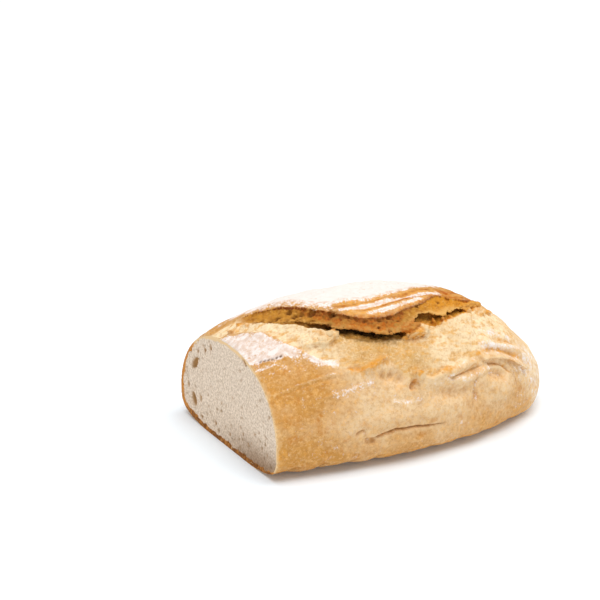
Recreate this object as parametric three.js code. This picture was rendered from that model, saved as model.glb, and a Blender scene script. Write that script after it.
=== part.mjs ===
// A hearth-baked bread loaf, cut straight across at one end.
//
// Millimetres, +Z up. X runs from the cut face (-X) to the baked tip (+X), the loaf rests on z = 0,
// and the origin is the middle of its bounding box on the resting plane.
// The loaf is one baked piece, so it is one closed skin: rings of points at stations along its
// length, a flat cap at the cut and a pole at the tip. Stations are measured from the cut face.
// Angles go round a ring: 0 is the rear side, 90 the crown, 180 the front side, 270 the base.

import * as THREE from 'three';

// Driving dimensions
const loafLength = 250;
const loafWidth = 156;
const crownHeight = 105;
const cutHeight = 78;
const widestAt = 61;           // station of the fullest ring
const highestAt = 85;          // station of the highest ring
const bellyHeight = 23.4;      // where the side is widest, above the resting plane
const bellyShare = 0.42;       // near the tip the belly keeps to this share of the ring's height
const tipHeight = 28;          // height of the rounded tip
const tipRise = 37;            // length over which the base curls up to the tip
const sideSway = -10.5;        // the loaf bows to the front at half length
const cutLean = 6;             // the crown leans to the front near the cut
const leanReach = 114;         // station where that lean has died away
const leanFrom = 24;           // height above which the ring leans
const leanSpan = 76;           // height over which the lean reaches cutLean
const baseSink = 0.4;          // the base is flattened by its own weight

// How round the loaf is: exponents of the outline in plan, of the crown line and of a ring
const planPower = 1.84;
const planRound = 3;
const crownPower = 2.7;
const crownRound = 1.16;
const tipPower = 2.2;
const upperSquareY = 2.31;
const upperSquareZ = 1.9;
const lowerSquareY = 4.3;
const lowerSquareZ = 5.6;

// The long tear in the crown, as [station, value] knots joined smoothly. Angles are in degrees.
const lipAngle = [[14, 66], [34, 80], [53, 94], [72, 108], [92, 114], [128, 109], [170, 99], [200, 103]];
const footAngle = [[14, 78], [36, 101], [55, 112], [75, 121], [100, 128], [145, 120], [184, 108], [200, 110]];
const lipForward = [[14, 0], [34, 4], [60, 5], [92, 6], [150, 5], [180, 3], [200, 0]];
const tearDepth = [[14, 0], [30, 4], [60, 6], [80, 9], [110, 10], [140, 7.5], [170, 5], [200, 0]];
const lipRise = 0.37;          // the lip rises this much for each millimetre it stands forward
const lipFade = 34;            // degrees of crown behind the lip that bend up with it
const footBack = 0.75;         // the foot of the torn wall lies this far back, per millimetre of depth
const footDrop = 0.3;          // and this far down
const rootBack = 1.15;         // the root of the tear runs back under the wall, per millimetre of depth
const rootDrop = 0.85;         // and down into the crumb
const mouthGap = 5;            // degrees between the foot of the wall and the opposite edge

// Mesh density
const ringCount = 44;
const ringCrowding = 1.5;      // rings crowd together towards the tip
const lastRing = 0.996;        // share of the length where the last ring before the pole stands
const plainFrom = 150;         // the front, base and rear of a ring lie between these two angles,
const plainTo = 410;           // and the crown and the tear take up the rest
const plainSteps = 29;
const crownSteps = 6;          // over the crown to the lip of the tear
const wallSteps = 3;           // down the torn wall
const bloomSteps = 7;          // across the smooth face that opened beside the tear

const radians = Math.PI / 180;

// 0 before a, 1 after b, and an eased step between them
function ease(a, b, x) {
  const t = Math.min(1, Math.max(0, (x - a) / (b - a)));
  return t * t * (3 - 2 * t);
}

// Value of a list of knots at one station
function along(knots, station) {
  let value = knots[0][1];
  for (let i = 1; i < knots.length; i++) {
    value += (knots[i][1] - knots[i - 1][1]) * ease(knots[i - 1][0], knots[i][0], station);
  }
  return value;
}

// Half width, crown height and base height of the ring at one station
function outline(station) {
  const pastWidest = Math.max(0, (station - widestAt) / (loafLength - widestAt));
  const pastHighest = Math.max(0, (station - highestAt) / (loafLength - highestAt));
  const beforeHighest = Math.max(0, (highestAt - station) / highestAt);
  const pastBase = Math.max(0, (station - loafLength + tipRise) / tipRise);
  const crownFall = (1 - pastHighest ** crownPower) ** (1 / crownRound);
  return {
    halfWidth: loafWidth / 2 * (1 - pastWidest ** planPower) ** (1 / planRound),
    crown: tipHeight + (crownHeight - tipHeight) * crownFall
      - (crownHeight - cutHeight) * beforeHighest ** 2,
    base: tipHeight * (1 - (1 - pastBase ** tipPower) ** (1 / tipPower)),
  };
}

// Point [y, z] of the plain ring, before the tear opens it
function ringPoint(station, angle) {
  const { halfWidth, crown, base } = outline(station);
  const belly = base + Math.min(bellyHeight, bellyShare * (crown - base));
  const across = Math.cos(angle * radians);
  const upward = Math.sin(angle * radians);
  const upper = upward >= 0;
  const reach = Math.abs(across) ** (2 / (upper ? upperSquareY : lowerSquareY));
  const rise = Math.abs(upward) ** (2 / (upper ? upperSquareZ : lowerSquareZ));
  const z = belly + rise * (upper ? crown - belly : base - belly);
  const sway = sideSway * Math.sin(Math.PI * station / loafLength);
  const lean = cutLean * Math.max(0, (z - leanFrom) / leanSpan) * Math.max(0, 1 - station / leanReach);
  return [Math.sign(across) * reach * halfWidth + sway - lean, Math.max(0, z - baseSink)];
}

// Points of one ring: round the front, base and rear, over the crown to the lip of the tear, down
// the torn wall to its foot, into the root, and out over the bloom back to the front
function ring(station) {
  const lip = 360 + along(lipAngle, station);
  const foot = along(footAngle, station);
  const forward = along(lipForward, station);
  const depth = along(tearDepth, station);
  const points = [];

  for (let i = 0; i < plainSteps; i++) {
    points.push(ringPoint(station, plainFrom + (plainTo - plainFrom) * i / plainSteps));
  }
  for (let i = 0; i <= crownSteps; i++) {
    const angle = plainTo + (lip - plainTo) * i / crownSteps;
    const bend = forward * ease(lip - lipFade, lip, angle);
    const [y, z] = ringPoint(station, angle);
    points.push([y - bend, z + lipRise * bend]);
  }
  const lipPoint = points[points.length - 1];
  const footPlain = ringPoint(station, foot);
  const footPoint = [footPlain[0] + footBack * depth, footPlain[1] - footDrop * depth];
  for (let i = 1; i <= wallSteps; i++) {
    const share = i / wallSteps;
    points.push([0, 1].map((k) => lipPoint[k] + (footPoint[k] - lipPoint[k]) * share));
  }
  const rootPlain = ringPoint(station, foot + mouthGap / 2);
  points.push([rootPlain[0] + rootBack * depth, rootPlain[1] - rootDrop * depth]);
  for (let i = 0; i < bloomSteps; i++) {
    const mouth = foot + mouthGap;
    points.push(ringPoint(station, mouth + (plainFrom - mouth) * i / bloomSteps));
  }
  return points;
}

// The whole skin: rings joined by quads, a fan over the cut and a fan round the tip
function loafGeometry() {
  const positions = [];
  const triangles = [];
  let ringSize = 0;
  for (let i = 0; i < ringCount; i++) {
    const station = loafLength * lastRing * (1 - (1 - i / (ringCount - 1)) ** ringCrowding);
    const points = ring(station);
    ringSize = points.length;
    for (const [y, z] of points) positions.push(station, y, z);
  }
  const cutMiddle = positions.length / 3;
  positions.push(0, 0, cutHeight / 2);
  const tip = cutMiddle + 1;
  positions.push(loafLength, 0, tipHeight);

  const lastStart = (ringCount - 1) * ringSize;
  for (let j = 0; j < ringSize; j++) {
    const next = (j + 1) % ringSize;
    triangles.push(cutMiddle, next, j);
    triangles.push(tip, lastStart + j, lastStart + next);
    for (let i = 0; i < ringCount - 1; i++) {
      const here = i * ringSize;
      const beyond = here + ringSize;
      triangles.push(here + j, here + next, beyond + next);
      triangles.push(here + j, beyond + next, beyond + j);
    }
  }
  const geometry = new THREE.BufferGeometry();
  geometry.setAttribute('position', new THREE.Float32BufferAttribute(positions, 3));
  geometry.setIndex(triangles);
  geometry.computeBoundingBox();
  const { min, max } = geometry.boundingBox;
  geometry.translate(-(min.x + max.x) / 2, -(min.y + max.y) / 2, -min.z);
  geometry.computeVertexNormals();
  return geometry;
}

const goldenCrust = new THREE.MeshStandardMaterial({ color: 0xdda865, roughness: 0.85, metalness: 0 });

const loaf = new THREE.Mesh(loafGeometry(), goldenCrust);
loaf.name = 'loaf';

const bread = new THREE.Group();
bread.add(loaf);

export default bread;
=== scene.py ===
import math

import bpy
import numpy as np
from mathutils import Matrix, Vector, kdtree, noise


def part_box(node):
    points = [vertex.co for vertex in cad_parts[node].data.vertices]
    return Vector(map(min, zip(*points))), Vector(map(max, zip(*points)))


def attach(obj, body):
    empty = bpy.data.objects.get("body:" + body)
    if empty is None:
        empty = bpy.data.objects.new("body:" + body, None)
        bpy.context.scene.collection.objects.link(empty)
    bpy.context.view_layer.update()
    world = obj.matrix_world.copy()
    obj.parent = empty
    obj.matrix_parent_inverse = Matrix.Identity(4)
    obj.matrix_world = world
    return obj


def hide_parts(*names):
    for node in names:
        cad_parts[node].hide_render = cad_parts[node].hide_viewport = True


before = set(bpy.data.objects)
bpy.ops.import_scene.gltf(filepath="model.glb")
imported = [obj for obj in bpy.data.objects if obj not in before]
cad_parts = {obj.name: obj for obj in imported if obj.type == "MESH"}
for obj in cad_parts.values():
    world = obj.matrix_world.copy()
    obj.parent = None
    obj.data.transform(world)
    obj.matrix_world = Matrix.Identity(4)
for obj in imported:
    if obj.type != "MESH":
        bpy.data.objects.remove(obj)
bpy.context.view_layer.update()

lowCorner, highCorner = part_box("loaf")
mm = 0.001
loafLength = (highCorner.x - lowCorner.x) / mm
arcPerDegree = 1.25      # millimetres of crust for each degree of a ring, near enough
lastStation = loafLength * 0.995      # short of the tip, where a ring shrinks to a point

# Everything about the loaf's form is in millimetres. A station is the distance from the cut face, and an
# angle goes round a ring of the loaf: 0 rear, 90 crown, 180 front, 270 base.
loafForm = {
    "width": 156, "crown": 105, "cutHeight": 78,
    "widestAt": 61, "highestAt": 85, "belly": 23.4, "bellyShare": 0.42,
    "tipHeight": 28, "tipRise": 37,
    "sway": -10.5, "lean": 6, "leanReach": 114, "leanFrom": 24, "leanSpan": 76,
    "sink": 0.4,             # how much the base is pressed flat
    "heart": 35.0,           # height of the middle that things stand out from
    "planPower": 1.84, "planRound": 3, "crownPower": 2.7, "crownRound": 1.16, "tipPower": 2.2,
    "upperY": 2.31, "upperZ": 1.9, "lowerY": 3.6, "lowerZ": 4.2,
    "ringSpacing": 1.0,      # between rings of the first mesh
    "tipCrowding": 1.35,     # how much closer the rings lie at the tip
    "sectionSteps": (75, 69, 49, 55, 45),      # faces in each section of a ring
    "voxel": 0.7,            # size of the remesh that joins it all
    "triangles": 190000,     # kept after the last thinning
}

tear = {
    "lip": [(12, 67.5), (21, 74), (28, 79), (35, 84.5), (42, 89.5), (47, 93.5), (52, 97.8), (58, 102.5),
            (65, 108), (71, 112), (78, 115), (86, 116.8), (95, 117.4), (104, 116.6), (115, 114.5),
            (127, 112), (139, 108), (147, 104.5), (154, 103), (162, 104), (170, 104), (176, 104.5),
            (183, 102), (192, 102), (202, 106)],
    "foot": [(12, 77), (19, 84), (25, 90.5), (32, 97.5), (40, 103), (46, 107.5), (52, 112), (58, 116.2),
             (64, 119), (71, 120.3), (78, 123.2), (86, 126.2), (96, 127), (105, 126.5), (113, 124.6),
             (119, 121.5), (126, 119), (135, 118.5), (146, 119.5), (154, 118), (161, 115), (170, 112.5),
             (180, 109), (190, 106.5), (202, 108)],
    "mouth": [(12, 79), (19, 87), (25, 94), (32, 101), (39, 106.5), (44, 111.5), (48, 115.5), (54, 118.5),
              (58, 121.5), (63, 123.5), (72, 126), (82, 128.5), (92, 130), (106, 130), (113, 129),
              (119, 126), (126, 124.2), (133, 125), (138, 126.5), (144, 124), (156, 122), (165, 118.5),
              (175, 115.5), (188, 110), (202, 110)],
    "depth": [(14, 0), (21, 2.5), (30, 4.5), (43, 6), (60, 8), (80, 10), (108, 11), (130, 9), (155, 8),
              (180, 5), (200, 0)],
    "forward": [(12, 0), (22, 1.6), (45, 2.6), (70, 2.6), (95, 2.4), (120, 1.8), (150, 1.4), (180, 1.5),
                (200, 0)],
    "bulge": [(12, 0), (30, -1.4), (60, -1.8), (78, 0.4), (95, 1.4), (115, 0.6), (140, -0.8), (180, -0.8),
              (202, 0)],
    "footRim": [(12, 0), (30, 0), (60, 0.5), (76, 2), (90, 3.4), (110, 3.2), (125, 1.5), (150, 0.8),
                (190, 0.5), (202, 0)],
    "mouthRim": [(12, 0), (22, 1.5), (40, 2.2), (54, 2.4), (59, 1), (64, -1.0), (72, -1.8), (90, -2.2),
                 (106, -2.2), (116, -1.2), (124, -0.5), (135, 0), (150, 0), (202, 0)],
    "mouthFade": [(12, 5), (60, 5), (75, 8), (110, 9), (135, 5), (202, 5)],
    "footJag": 1.2, "mouthJag": 0.9, "lipJag": 0.6, "lipRise": 0.75, "lipFade": 34,
    "crownFrom": 50, "bloomTo": 150, "frontTo": 200,      # angles where the sections of a ring meet
}


def ease(a, b, x):
    t = np.clip((x - a) / (b - a), 0, 1)
    return t * t * (3 - 2 * t)


def along(knots, station):        # smooth value of a knot list at each station
    xs, ys = (np.array(k, float) for k in zip(*knots))
    slope = np.gradient(ys, xs)
    x = np.clip(station, xs[0], xs[-1])
    i = np.clip(np.searchsorted(xs, x, side="right") - 1, 0, len(xs) - 2)
    span = xs[i + 1] - xs[i]
    t = (x - xs[i]) / span
    return ((2 * t**3 - 3 * t**2 + 1) * ys[i] + (t**3 - 2 * t**2 + t) * span * slope[i]
            + (3 * t**2 - 2 * t**3) * ys[i + 1] + (t**3 - t**2) * span * slope[i + 1])


def outline(station):
    f = loafForm
    pastWidest = np.clip((station - f["widestAt"]) / (loafLength - f["widestAt"]), 0, 1)
    pastHighest = np.clip((station - f["highestAt"]) / (loafLength - f["highestAt"]), 0, 1)
    beforeHighest = np.clip((f["highestAt"] - station) / f["highestAt"], 0, None)
    pastBase = np.clip((station - loafLength + f["tipRise"]) / f["tipRise"], 0, 1)
    halfWidth = f["width"] / 2 * (1 - pastWidest ** f["planPower"]) ** (1 / f["planRound"])
    slope = (1 - pastHighest ** f["crownPower"]) ** (1 / f["crownRound"])
    crown = (f["tipHeight"] + (f["crown"] - f["tipHeight"]) * slope
             - (f["crown"] - f["cutHeight"]) * beforeHighest ** 2)
    base = f["tipHeight"] * (1 - (1 - pastBase ** f["tipPower"]) ** (1 / f["tipPower"]))
    belly = base + np.minimum(f["belly"], f["bellyShare"] * (crown - base))
    return halfWidth, crown, base, belly


def swayAndLean(station, z):
    f = loafForm
    above = np.clip((z - f["leanFrom"]) / f["leanSpan"], 0, None)
    nearCut = np.clip(1 - station / f["leanReach"], 0, 1)
    return f["sway"] * np.sin(np.pi * station / loafLength) - f["lean"] * above * nearCut


def ringPoint(station, angle):        # (y, z) of the plain loaf
    f = loafForm
    halfWidth, crown, base, belly = outline(station)
    c, s = np.cos(np.radians(angle)), np.sin(np.radians(angle))
    upper = s >= 0
    y = np.sign(c) * np.abs(c) ** np.where(upper, 2 / f["upperY"], 2 / f["lowerY"]) * halfWidth
    rise = np.abs(s) ** np.where(upper, 2 / f["upperZ"], 2 / f["lowerZ"])
    z = belly + rise * np.where(upper, crown - belly, base - belly)
    return np.stack([y + swayAndLean(station, z), np.maximum(0, z - f["sink"])], -1)


def ringAngle(station, y, z):        # the angle of a point on or near the plain loaf
    f = loafForm
    halfWidth, crown, base, belly = outline(np.clip(station, 0, loafLength * 0.998))
    across = (y - swayAndLean(station, z)) / np.maximum(halfWidth, 1e-3)
    upper = z >= belly
    rise = np.where(upper, (z - belly) / np.maximum(crown - belly, 1e-3),
                    (belly - z) / np.maximum(belly - base, 1e-3))
    c = np.sign(across) * np.abs(across) ** np.where(upper, f["upperY"] / 2, f["lowerY"] / 2)
    s = np.clip(rise, 0, None) ** np.where(upper, f["upperZ"] / 2, f["lowerZ"] / 2)
    return np.degrees(np.arctan2(np.where(upper, s, -s), c)) % 360


def raggedLine(station, pace, seed, otherSeed):        # a torn edge wanders by this much
    return np.array([noise.fractal(Vector((x * pace, seed, otherSeed)), 0.7, 2.0, 4) for x in station])


# (y, z) of the torn loaf. t counts sections round the ring: 0 to 1 rear and base, 1 to 2 crown,
# 2 to 3 torn wall and crevice, 3 to 4 bloom, 4 to 5 front side
def foldedRing(station, t):
    def knots(name):
        return along(tear[name], station)

    crownFrom, bloomTo, frontTo = tear["crownFrom"], tear["bloomTo"], tear["frontTo"]
    opened = ease(16, 28, station) * (1 - ease(180, 202, station))
    footNoise = raggedLine(station, 0.12, 3.1, 7.7) * opened
    lipNoise = raggedLine(station, 0.1, 9.4, 1.2) * opened
    lip = knots("lip") + tear["lipJag"] * lipNoise
    foot = knots("foot") + tear["footJag"] * footNoise
    mouth = knots("mouth") + tear["mouthJag"] * lipNoise
    forward = knots("forward")
    bendAway = np.array([-1, tear["lipRise"]])
    crownAngle = crownFrom + (lip - crownFrom) * (t - 1)
    bend = forward * ease(lip - tear["lipFade"], lip, crownAngle)
    crown = ringPoint(station, crownAngle) + bend[:, None] * bendAway

    # the fold from the lip down the torn wall, into the crevice and out again to the mouth
    lipPoint = ringPoint(station, lip) + forward[:, None] * bendAway
    footPlain, mouthPlain = ringPoint(station, foot), ringPoint(station, mouth)
    outward = footPlain - (loafForm["sway"], loafForm["heart"])
    outward /= np.linalg.norm(outward, axis=-1, keepdims=True)
    inwards = knots("depth")[:, None] * (1.0, 0.0)         # into the loaf, level
    mouthRim = knots("mouthRim")[:, None]
    path = np.stack([
        lipPoint,
        lipPoint + opened[:, None] * (0.8, -1.2),
        0.6 * lipPoint + 0.4 * footPlain + outward * knots("bulge")[:, None],
        footPlain + knots("footRim")[:, None] * (-1.0, 0.25),
        footPlain + inwards * 0.4,
        (footPlain + mouthPlain) / 2 + inwards,
        mouthPlain + inwards * 0.5 + (0, -0.5),
        mouthPlain + outward * mouthRim,
    ])
    share = np.clip((t - 2) * (len(path) - 1), 0, len(path) - 1 - 1e-6)
    stretch = share.astype(int)
    row = np.arange(len(station))
    here, there = path[stretch, row], path[stretch + 1, row]
    fold = here + (there - here) * (share - stretch)[:, None]

    bloomAngle = mouth + (bloomTo - mouth) * (t - 3)
    away = np.clip((bloomAngle - mouth) * arcPerDegree, 0, None)
    bloomOut = mouthRim * np.exp(-(away / knots("mouthFade")) ** 2)[:, None]
    rear = ringPoint(station, frontTo + (360 + crownFrom - frontTo) * t)
    bloom = ringPoint(station, bloomAngle) + outward * bloomOut
    front = ringPoint(station, bloomTo + (frontTo - bloomTo) * (t - 4))
    result = np.choose(np.clip(t.astype(int), 0, 4)[:, None], [rear, crown, fold, bloom, front])
    result[:, 1] = np.maximum(result[:, 1], 0)
    return result


def onlySelect(piece):
    bpy.ops.object.select_all(action="DESELECT")
    piece.select_set(True)
    bpy.context.view_layer.objects.active = piece


def coords(piece, kind="co"):        # or "normal"
    flat = np.empty(len(piece.data.vertices) * 3)
    piece.data.vertices.foreach_get(kind, flat)
    return flat.reshape(-1, 3)


def setCoords(piece, points):
    piece.data.vertices.foreach_set("co", np.ascontiguousarray(points, dtype=float).ravel())
    piece.data.update()


def makeBody():        # also gives the place and the section of each point of the rings
    steps = loafForm["sectionSteps"]
    starts = [np.linspace(i, i + 1, n + 1)[:-1] for i, n in enumerate(steps)]
    sections = np.concatenate(starts + [[len(steps)]])
    rings = int(loafLength / loafForm["ringSpacing"])
    bpy.ops.mesh.primitive_grid_add(x_subdivisions=rings, y_subdivisions=len(sections) - 1, size=2)
    body = bpy.context.object
    body.name = "breadLoaf"
    grid = (coords(body)[:, :2] + 1) / 2        # 0 to 1 along the loaf, 0 to 1 round it
    station = loafLength * 0.9995 * (1 - (1 - grid[:, 0]) ** loafForm["tipCrowding"])
    section = sections[np.rint(grid[:, 1] * (len(sections) - 1)).astype(int)]
    points = np.column_stack([station, foldedRing(station, section)])
    points[grid[:, 0] > 0.9999] = (loafLength, 0, loafForm["tipHeight"])        # one point closes the tip
    setCoords(body, points)
    onlySelect(body)
    bpy.ops.object.mode_set(mode="EDIT")
    bpy.ops.mesh.select_all(action="SELECT")
    bpy.ops.mesh.remove_doubles(threshold=0.002)
    bpy.ops.mesh.select_all(action="DESELECT")
    bpy.ops.mesh.select_mode(type="VERT")
    bpy.ops.object.mode_set(mode="OBJECT")
    atCut = coords(body)[:, 0] < 0.001
    body.data.vertices.foreach_set("select", atCut)
    bpy.ops.object.mode_set(mode="EDIT")
    bpy.ops.mesh.edge_face_add()                                       # the flat cut face
    bpy.ops.mesh.select_all(action="SELECT")
    bpy.ops.mesh.normals_make_consistent(inside=False)
    bpy.ops.object.mode_set(mode="OBJECT")
    return body, points, section


# strokes of the shaping tool on the crust: kind, height, width, how much of each end fades, lean towards
# the base, and the path as (station, angle)
strokes = [
    # crease low on the front, with a fold hanging over it
    ("ridge", 1.6, 5.0, 0.25, 0.9, [(62, 171), (80, 170), (98, 169), (114, 171), (134, 174)]),
    ("groove", -3.9, 1.15, 0.2, 0.0, [(66, 181), (72, 179.5), (78, 178), (84, 177.4), (88, 176.6),
                                      (94, 177.2), (104, 177.6), (114, 178.6), (124, 179), (134, 180)]),
    ("ridge", 1.0, 3.0, 0.3, 0.0, [(70, 186), (84, 184), (100, 184.5), (120, 187)]),
    ("ridge", -2.6, 1.4, 0.3, 0.0, [(56, 177), (58.5, 175.2), (62.5, 174.2), (64, 177)]),
    ("ridge", -2.2, 1.3, 0.3, 0.0, [(63, 178.6), (67, 180), (73, 180.2)]),
    # edge of the crust beside the bloom, with a valley along it
    ("shelf", 1.6, 6.0, 0.05, 0.0, [(0, 81), (7, 86), (12, 90), (18, 98), (22, 105), (25, 113), (31, 121),
                                    (36, 128), (43, 134)]),
    ("ridge", -1.8, 6.0, 0.3, 0.0, [(32, 124), (40, 130), (50, 134), (62, 139)]),
    ("shelf", 2.4, 7.0, 0.15, 0.0, [(52, 141), (60, 143), (69, 144), (75, 143), (82, 141), (89, 139.5)]),
    ("ridge", 2.8, 2.6, 0.2, 0.0, [(64, 143.2), (70, 143), (76, 142), (81, 140.4), (85, 139.6),
                                   (87, 140.8), (85.5, 143)]),
    ("ridge", -2.8, 2.6, 0.3, 0.0, [(79, 145.5), (81, 148), (84, 149.8), (88, 148.6), (91, 146)]),
    ("ridge", -2.0, 4.0, 0.3, 0.0, [(91, 145), (92, 150), (98, 153)]),
    ("ridge", -1.8, 5.0, 0.3, 0.0, [(84, 150), (92, 153), (100, 153)]),
    ("shelf", 2.8, 7.0, 0.15, 0.0, [(104, 153), (108, 151), (112, 152.5), (118, 154.5), (126, 153.5),
                                    (134, 152.5)]),
    ("ridge", -3.8, 2.4, 0.25, 0.0, [(102.5, 159), (103.2, 156.5), (105.5, 154.8), (109, 154)]),
    ("ridge", 1.8, 1.8, 0.3, 0.0, [(106.5, 152.5), (108.5, 151), (110.5, 150.2), (112, 152)]),
    # torn ledge of the bloom near the cut
    ("ledge", 3.0, 9.0, 0.12, 0.0, [(58, 118.5), (57.5, 121.5), (53, 123.5), (48.5, 124.5), (44, 122.5),
                                    (38, 121.5), (32, 122)]),
    # flap hanging from the torn wall
    ("ledge", 2.6, 4.5, 0.15, 0.2, [(128, 126.5), (127.5, 129), (124, 130.4), (116, 130.6), (107.5, 130),
                                    (101, 128.8)]),
    # rolls and hollows where the dough was tucked in at the far end
    ("ridge", 2.8, 3.0, 0.15, 0.7, [(130, 152), (141, 151.5), (148, 150), (156, 149), (163, 148)]),
    ("ridge", 3.5, 2.5, 0.12, 1.1, [(165, 147.5), (171, 146), (178, 145.5), (191, 146.5), (201, 149.5),
                                    (209, 153), (216, 159)]),
    ("groove", -3.2, 1.5, 0.25, 0.0, [(170, 152.5), (175, 151.5), (185, 152.5), (192, 156), (197, 161)]),
    ("groove", -2.0, 1.1, 0.3, 0.0, [(132, 156), (141, 155), (152, 154), (163, 152.5), (172, 151)]),
    ("ridge", 1.8, 3.2, 0.2, 0.5, [(124, 157), (139, 157.5), (153, 158), (162, 156.5), (170, 154),
                                   (180, 154.5)]),
    ("ridge", -3.4, 5.0, 0.3, 0.0, [(112, 161), (124, 162), (136, 164), (150, 164), (160, 162)]),
    ("ridge", 1.6, 6.0, 0.3, 0.0, [(100, 168), (118, 167), (136, 171), (152, 173)]),
    ("ridge", -3.8, 4.2, 0.3, 0.0, [(169, 158), (176, 157.5), (184, 159.5), (190, 163)]),
    ("ridge", 2.6, 12.0, 0.3, 0.0, [(168, 170), (176, 168), (184, 172), (186, 180)]),
    ("groove", -2.4, 1.2, 0.3, 0.0, [(163, 156), (159, 161), (157.5, 167), (158, 174)]),
    ("ridge", 1.8, 3.5, 0.2, 0.0, [(163, 143), (172, 139.5), (182, 139), (192, 140), (205, 141),
                                   (216, 146), (223, 153)]),
    ("groove", -1.4, 1.6, 0.3, 0.0, [(168, 144), (178, 142.5), (190, 143), (202, 146), (212, 150)]),
    ("ridge", -1.4, 3.0, 0.3, 0.0, [(182, 134.5), (192, 135.5), (203, 136), (212, 137)]),
    # fine lines left by the proving basket
    ("ridge", 0.5, 0.9, 0.2, 0.0, [(0, 141), (16, 140.5), (30, 141), (44, 141.5), (56, 142)]),
    ("ridge", -0.5, 1.0, 0.2, 0.0, [(0, 143), (16, 142.5), (30, 143), (44, 143.5), (56, 144)]),
    ("ridge", 0.5, 1.0, 0.2, 0.0, [(30, 152.5), (41, 152), (52, 152), (63, 151), (75, 150.5)]),
    ("ridge", 0.5, 1.4, 0.2, 0.0, [(84, 162), (93, 163.5), (99, 164), (111, 163)]),
    # grooves in the crown beside the lip, between streaks of flour
    ("ridge", -1.0, 2.0, 0.2, 0.0, [(74, 107), (86, 109.5), (100, 109), (112, 106.5), (124, 103.5),
                                    (138, 101)]),
    ("ridge", -0.8, 1.8, 0.2, 0.0, [(66, 98), (80, 102.5), (97, 102.5), (110, 101), (124, 98),
                                    (140, 95)]),
    ("ridge", 0.9, 2.4, 0.2, 0.0, [(82, 112), (98, 112), (110, 110), (122, 107.5), (136, 104.5)]),
    ("ridge", 0.8, 2.4, 0.2, 0.0, [(78, 105), (100, 105.5), (110, 104), (123, 101), (140, 98)]),
]
tipLines = [[(first, 151), (first + 7, 160), (first + 10, 174), (first + 7, 190)]
            for first in (192, 197, 202, 207, 213)]
for line in tipLines:            # thin curved lines round the tip, one beside the other
    strokes.append(("ridge", 1.0, 1.0, 0.3, 0.0, line))
for notch in (13, 33.5, 54, 76, 98, 121, 142, 165):      # folds along the lower edge
    upperEnd = (notch + 4, 199 - 4 * math.sin(1.7 * notch))
    strokes.append(("groove", -4.2, 1.8, 0.2, 0.0, [(notch - 3, 236), (notch, 216), upperEnd]))

# torn bits of dough: station, angle, height over the crust; size along, across and outwards; turn
shreds = [
    ((110, 127.2, 2.6), (8, 1.6, 1.5), -4), ((118.5, 125.6, 3.0), (6.0, 2.0, 1.6), -6),
    ((124.5, 127.4, 3.0), (4.4, 1.8, 1.5), 38), ((117, 129.2, 1.6), (7.5, 3.0, 1.2), 4),
    ((188.5, 105, 1.6), (3.2, 2.8, 2.4), 0), ((185.5, 112.3, 1.0), (5.6, 3.0, 2.4), -20),
    ((178, 108.5, 1.2), (6.5, 1.8, 1.6), 12), ((172, 113.5, 0.6), (4.0, 1.8, 1.6), -25),
    ((198, 106, 0), (5.0, 2.4, 1.6), -30), ((109.5, 151.5, 0.2), (1.8, 2.6, 1.2), -18),
    ((55.5, 119.0, 1.2), (3.6, 2.2, 1.4), 32), ((50, 121.5, 0.2), (4.6, 1.4, 1.0), -6),
    ((133, 152, 0.8), (5.0, 1.9, 1.5), -4), ((9, 83, 0.6), (5.0, 2.4, 1.5), -25),
    ((16, 80, 0.6), (4.0, 1.6, 1.2), -30), ((18, 86, 0.2), (3.0, 1.8, 1.2), -10),
    ((137, 123, -1.2), (1.0, 4.0, 1.2), 10), ((145, 122.5, -1.2), (0.9, 3.4, 1.2), -12),
    ((128, 122, -1.6), (0.9, 3.0, 1.0), 16), ((152, 121, -1.0), (1.1, 2.6, 1.2), 8),
]

# small hollows in the torn wall: station, angle, half length, half width, depth
pits = [
    (53, 100.8, 2.8, 1.5, 2.6), (65, 108, 4.2, 1.7, 3.0), (41.5, 93, 1.9, 1.2, 2.0),
    (47, 98, 1.5, 1.0, 1.6), (71, 113.5, 1.6, 1.0, 1.6), (81.5, 118.5, 1.7, 1.1, 1.8),
    (92, 120, 2.0, 1.2, 1.8), (100, 118.8, 1.5, 1.0, 1.4), (42.5, 97, 2.4, 1.3, 2.2),
    (33.5, 92.5, 2.8, 1.3, 2.4), (43, 100.5, 2.2, 1.2, 2.2), (25, 88.5, 2.4, 1.1, 2.0),
    (29.5, 91.5, 2.2, 1.1, 2.0), (36, 97, 2.0, 1.2, 2.2), (48.5, 105, 2.4, 1.3, 2.4),
    (57, 113, 2.4, 1.2, 2.2), (88, 124.5, 1.3, 0.9, 1.4), (106, 122, 1.4, 0.9, 1.4),
    (128, 113, 1.8, 1.0, 1.4), (150, 108, 1.8, 1.0, 1.4),
]
perforations = {        # a row of pricks beside the edge of the crust
    "path": [(6.5, 115.0), (12.5, 117.8), (19, 119.8)], "halfLength": 0.7, "halfWidth": 0.6, "depth": 1.3,
}

crustEdge = [
    (-4, 78), (1, 81), (7, 86), (12, 90), (18, 98), (24, 111), (31, 121), (36, 128), (43, 134), (52, 139),
    (60, 142.5), (69, 144), (79, 142), (88, 140), (92, 143), (98, 150), (103, 153), (109, 151.5),
    (118, 154), (133, 152.5), (146, 151), (160, 148.5), (166, 144), (178, 139), (195, 137), (207, 135),
    (214, 128), (217, 116), (214, 104),
]
crownEdge = [
    (214, 104), (204, 99), (192, 97), (180, 95), (168, 97), (155, 101.5), (140, 106), (126, 109.5),
    (107, 113), (95, 114.5), (84, 114.5), (77, 112), (70, 107), (62, 101), (53, 94), (43, 86), (34, 79),
    (24, 74), (12, 72), (-4, 70),
]

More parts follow.
